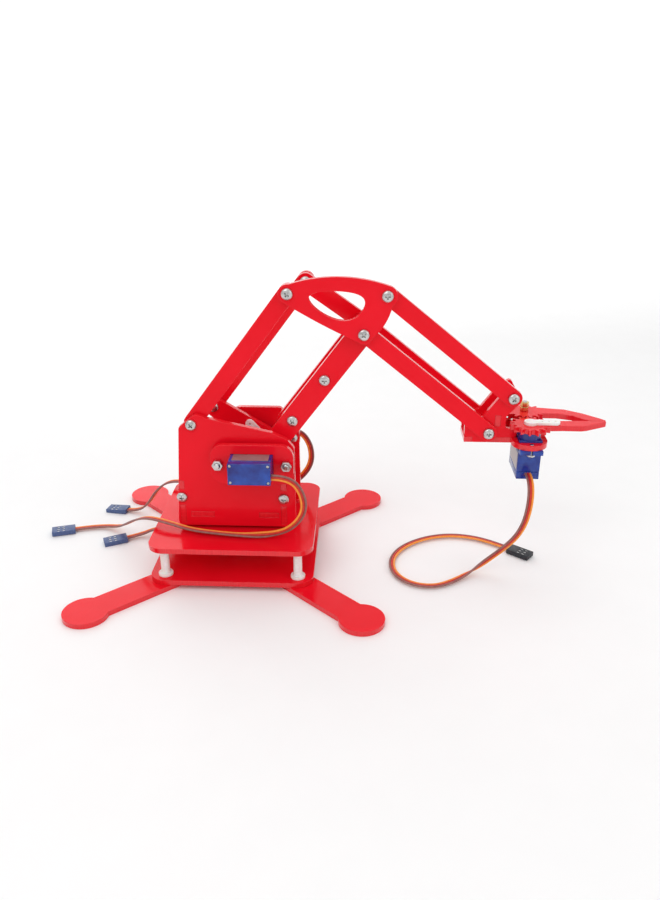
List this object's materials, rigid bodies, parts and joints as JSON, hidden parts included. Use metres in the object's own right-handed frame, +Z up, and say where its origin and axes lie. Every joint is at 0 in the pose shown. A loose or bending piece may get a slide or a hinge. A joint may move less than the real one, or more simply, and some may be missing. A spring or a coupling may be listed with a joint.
{
  "type": "desktop robot arm",
  "caption": "Desktop four-servo robot arm in sheet acrylic: turntable, twin parallelogram linkage that keeps the wrist level, and a geared two-claw gripper.",
  "frame": {"origin": "on the base's turning axis, at the level of the surface that the foot stands on", "axes": "+X is the way the arm reaches, +Y goes from the near side plate to the far one, +Z is up"},
  "size_m": [0.325, 0.1618, 0.1696],
  "materials": {
    "acrylic": "polished cast sheet",
    "nylon": "natural moulded",
    "servo_case": "tinted clear",
    "steel": "zinc plated",
    "brass": "turned",
    "lead": "ribbon of three insulated wires",
    "connector": "moulded"
  },
  "bodies": {
    "base": {"foot_cross": "acrylic", "base_lower_plate": "acrylic", "base_upper_plate": "acrylic", "base_standoffs": "nylon", "base_screws": "steel", "base_servo_case": "servo_case", "base_servo_collar": "acrylic", "base_lead": "lead", "base_lead_connector": "connector"},
    "turntable": {"near_side_plate": "acrylic", "far_side_plate": "acrylic", "left_cross_plate": "acrylic", "right_cross_plate": "acrylic", "turntable_floor": "acrylic", "base_servo_shaft": "brass", "base_horn": "nylon", "turntable_screws": "steel", "turntable_nuts": "steel", "near_servo_case": "servo_case", "far_servo_case": "servo_case", "near_servo_collar": "acrylic", "far_servo_collar": "acrylic", "near_lead": "lead", "near_lead_connector": "connector", "far_lead": "lead", "far_lead_connector": "connector"},
    "upper_arm": {"near_upper_arm": "acrylic", "far_upper_arm": "acrylic", "upper_arm_bridge": "acrylic", "upper_arm_screws": "steel", "near_servo_shaft": "brass", "near_servo_horn": "nylon"},
    "rear_link": {"rear_link": "acrylic"},
    "elbow_plate": {"elbow_plate": "acrylic", "elbow_plate_screws": "steel", "elbow_nut": "steel"},
    "forearm": {"near_forearm": "acrylic", "far_forearm": "acrylic"},
    "leveller_link": {"leveller_link": "acrylic"},
    "drive_lever": {"drive_lever": "acrylic", "far_servo_shaft": "brass", "far_servo_horn": "nylon", "lever_screw": "steel"},
    "tail_pin": {"tail_screw": "steel", "tail_nut": "steel"},
    "drive_link": {"drive_link": "acrylic"},
    "gripper_head": {"near_cheek": "acrylic", "far_cheek": "acrylic", "gripper_deck": "acrylic", "head_brace": "acrylic", "head_pivot_screws": "steel", "gripper_servo_case": "servo_case", "gripper_bolts": "steel", "claw_nuts": "brass", "gripper_lead": "lead", "gripper_lead_connector": "connector"},
    "near_claw": {"near_claw": "acrylic", "gripper_horn": "nylon", "gripper_servo_shaft": "brass"},
    "far_claw": {"far_claw": "acrylic"}
  },
  "joints": [
    {"name": "base_yaw", "type": "hinge", "parent": "base", "child": "turntable", "pos_m": [0, 0, 0.0345], "axis": [0, 0, 1], "range_deg": [-90, 90], "deforming": ["near_lead", "near_lead_connector", "far_lead", "far_lead_connector"]},
    {"name": "shoulder", "type": "hinge", "parent": "turntable", "child": "upper_arm", "pos_m": [0.018, -0.0035, 0.0685], "axis": [0, -1, 0], "range_deg": [-18, 45]},
    {"name": "rear_link_pivot", "type": "hinge", "parent": "turntable", "child": "rear_link", "pos_m": [-0.0208, -0.0035, 0.089], "axis": [0, -1, 0], "range_deg": [-18, 45]},
    {"name": "elbow_plate_pivot", "type": "hinge", "parent": "upper_arm", "child": "elbow_plate", "pos_m": [0.0713, -0.0035, 0.1398], "axis": [0, -1, 0], "range_deg": [-45, 18]},
    {"name": "elbow", "type": "hinge", "parent": "elbow_plate", "child": "forearm", "pos_m": [0.0713, -0.0035, 0.1398], "axis": [0, -1, 0], "range_deg": [-11, 37]},
    {"name": "leveller_pivot", "type": "hinge", "parent": "elbow_plate", "child": "leveller_link", "pos_m": [0.0829, -0.0035, 0.1596], "axis": [0, -1, 0], "range_deg": [-11, 37]},
    {"name": "wrist", "type": "hinge", "parent": "forearm", "child": "gripper_head", "pos_m": [0.139, -0.0035, 0.0855], "axis": [0, -1, 0], "range_deg": [-37, 11], "deforming": ["gripper_lead", "gripper_lead_connector"]},
    {"name": "lever_pivot", "type": "hinge", "parent": "turntable", "child": "drive_lever", "pos_m": [0.018, -0.0035, 0.0685], "axis": [0, -1, 0], "range_deg": [-11, 37]},
    {"name": "tail_pivot", "type": "hinge", "parent": "forearm", "child": "tail_pin", "pos_m": [0.04017, -0.0035, 0.1616], "axis": [0, -1, 0], "range_deg": [-37, 11]},
    {"name": "drive_link_pivot", "type": "hinge", "parent": "tail_pin", "child": "drive_link", "pos_m": [0.04017, -0.0035, 0.1616], "axis": [0, -1, 0], "range_deg": [-18, 45]},
    {"name": "claw", "type": "hinge", "parent": "gripper_head", "child": "near_claw", "pos_m": [0.1612, -0.01345, 0.0878], "axis": [0, 0, -1], "range_deg": [0, 45]},
    {"name": "far_claw_pivot", "type": "hinge", "parent": "gripper_head", "child": "far_claw", "pos_m": [0.1612, 0.00635, 0.0878], "axis": [0, 0, -1], "range_deg": [-45, 0]}
  ],
  "couplings": [
    {"joint": "rear_link_pivot", "follows": "shoulder", "ratio": 1},
    {"joint": "elbow_plate_pivot", "follows": "shoulder", "ratio": -1},
    {"joint": "leveller_pivot", "follows": "elbow", "ratio": 1},
    {"joint": "wrist", "follows": "elbow", "ratio": -1},
    {"joint": "lever_pivot", "follows": "elbow", "ratio": 1},
    {"joint": "tail_pivot", "follows": "elbow", "ratio": -1},
    {"joint": "drive_link_pivot", "follows": "shoulder", "ratio": 1},
    {"joint": "far_claw_pivot", "follows": "claw", "ratio": -1}
  ]
}
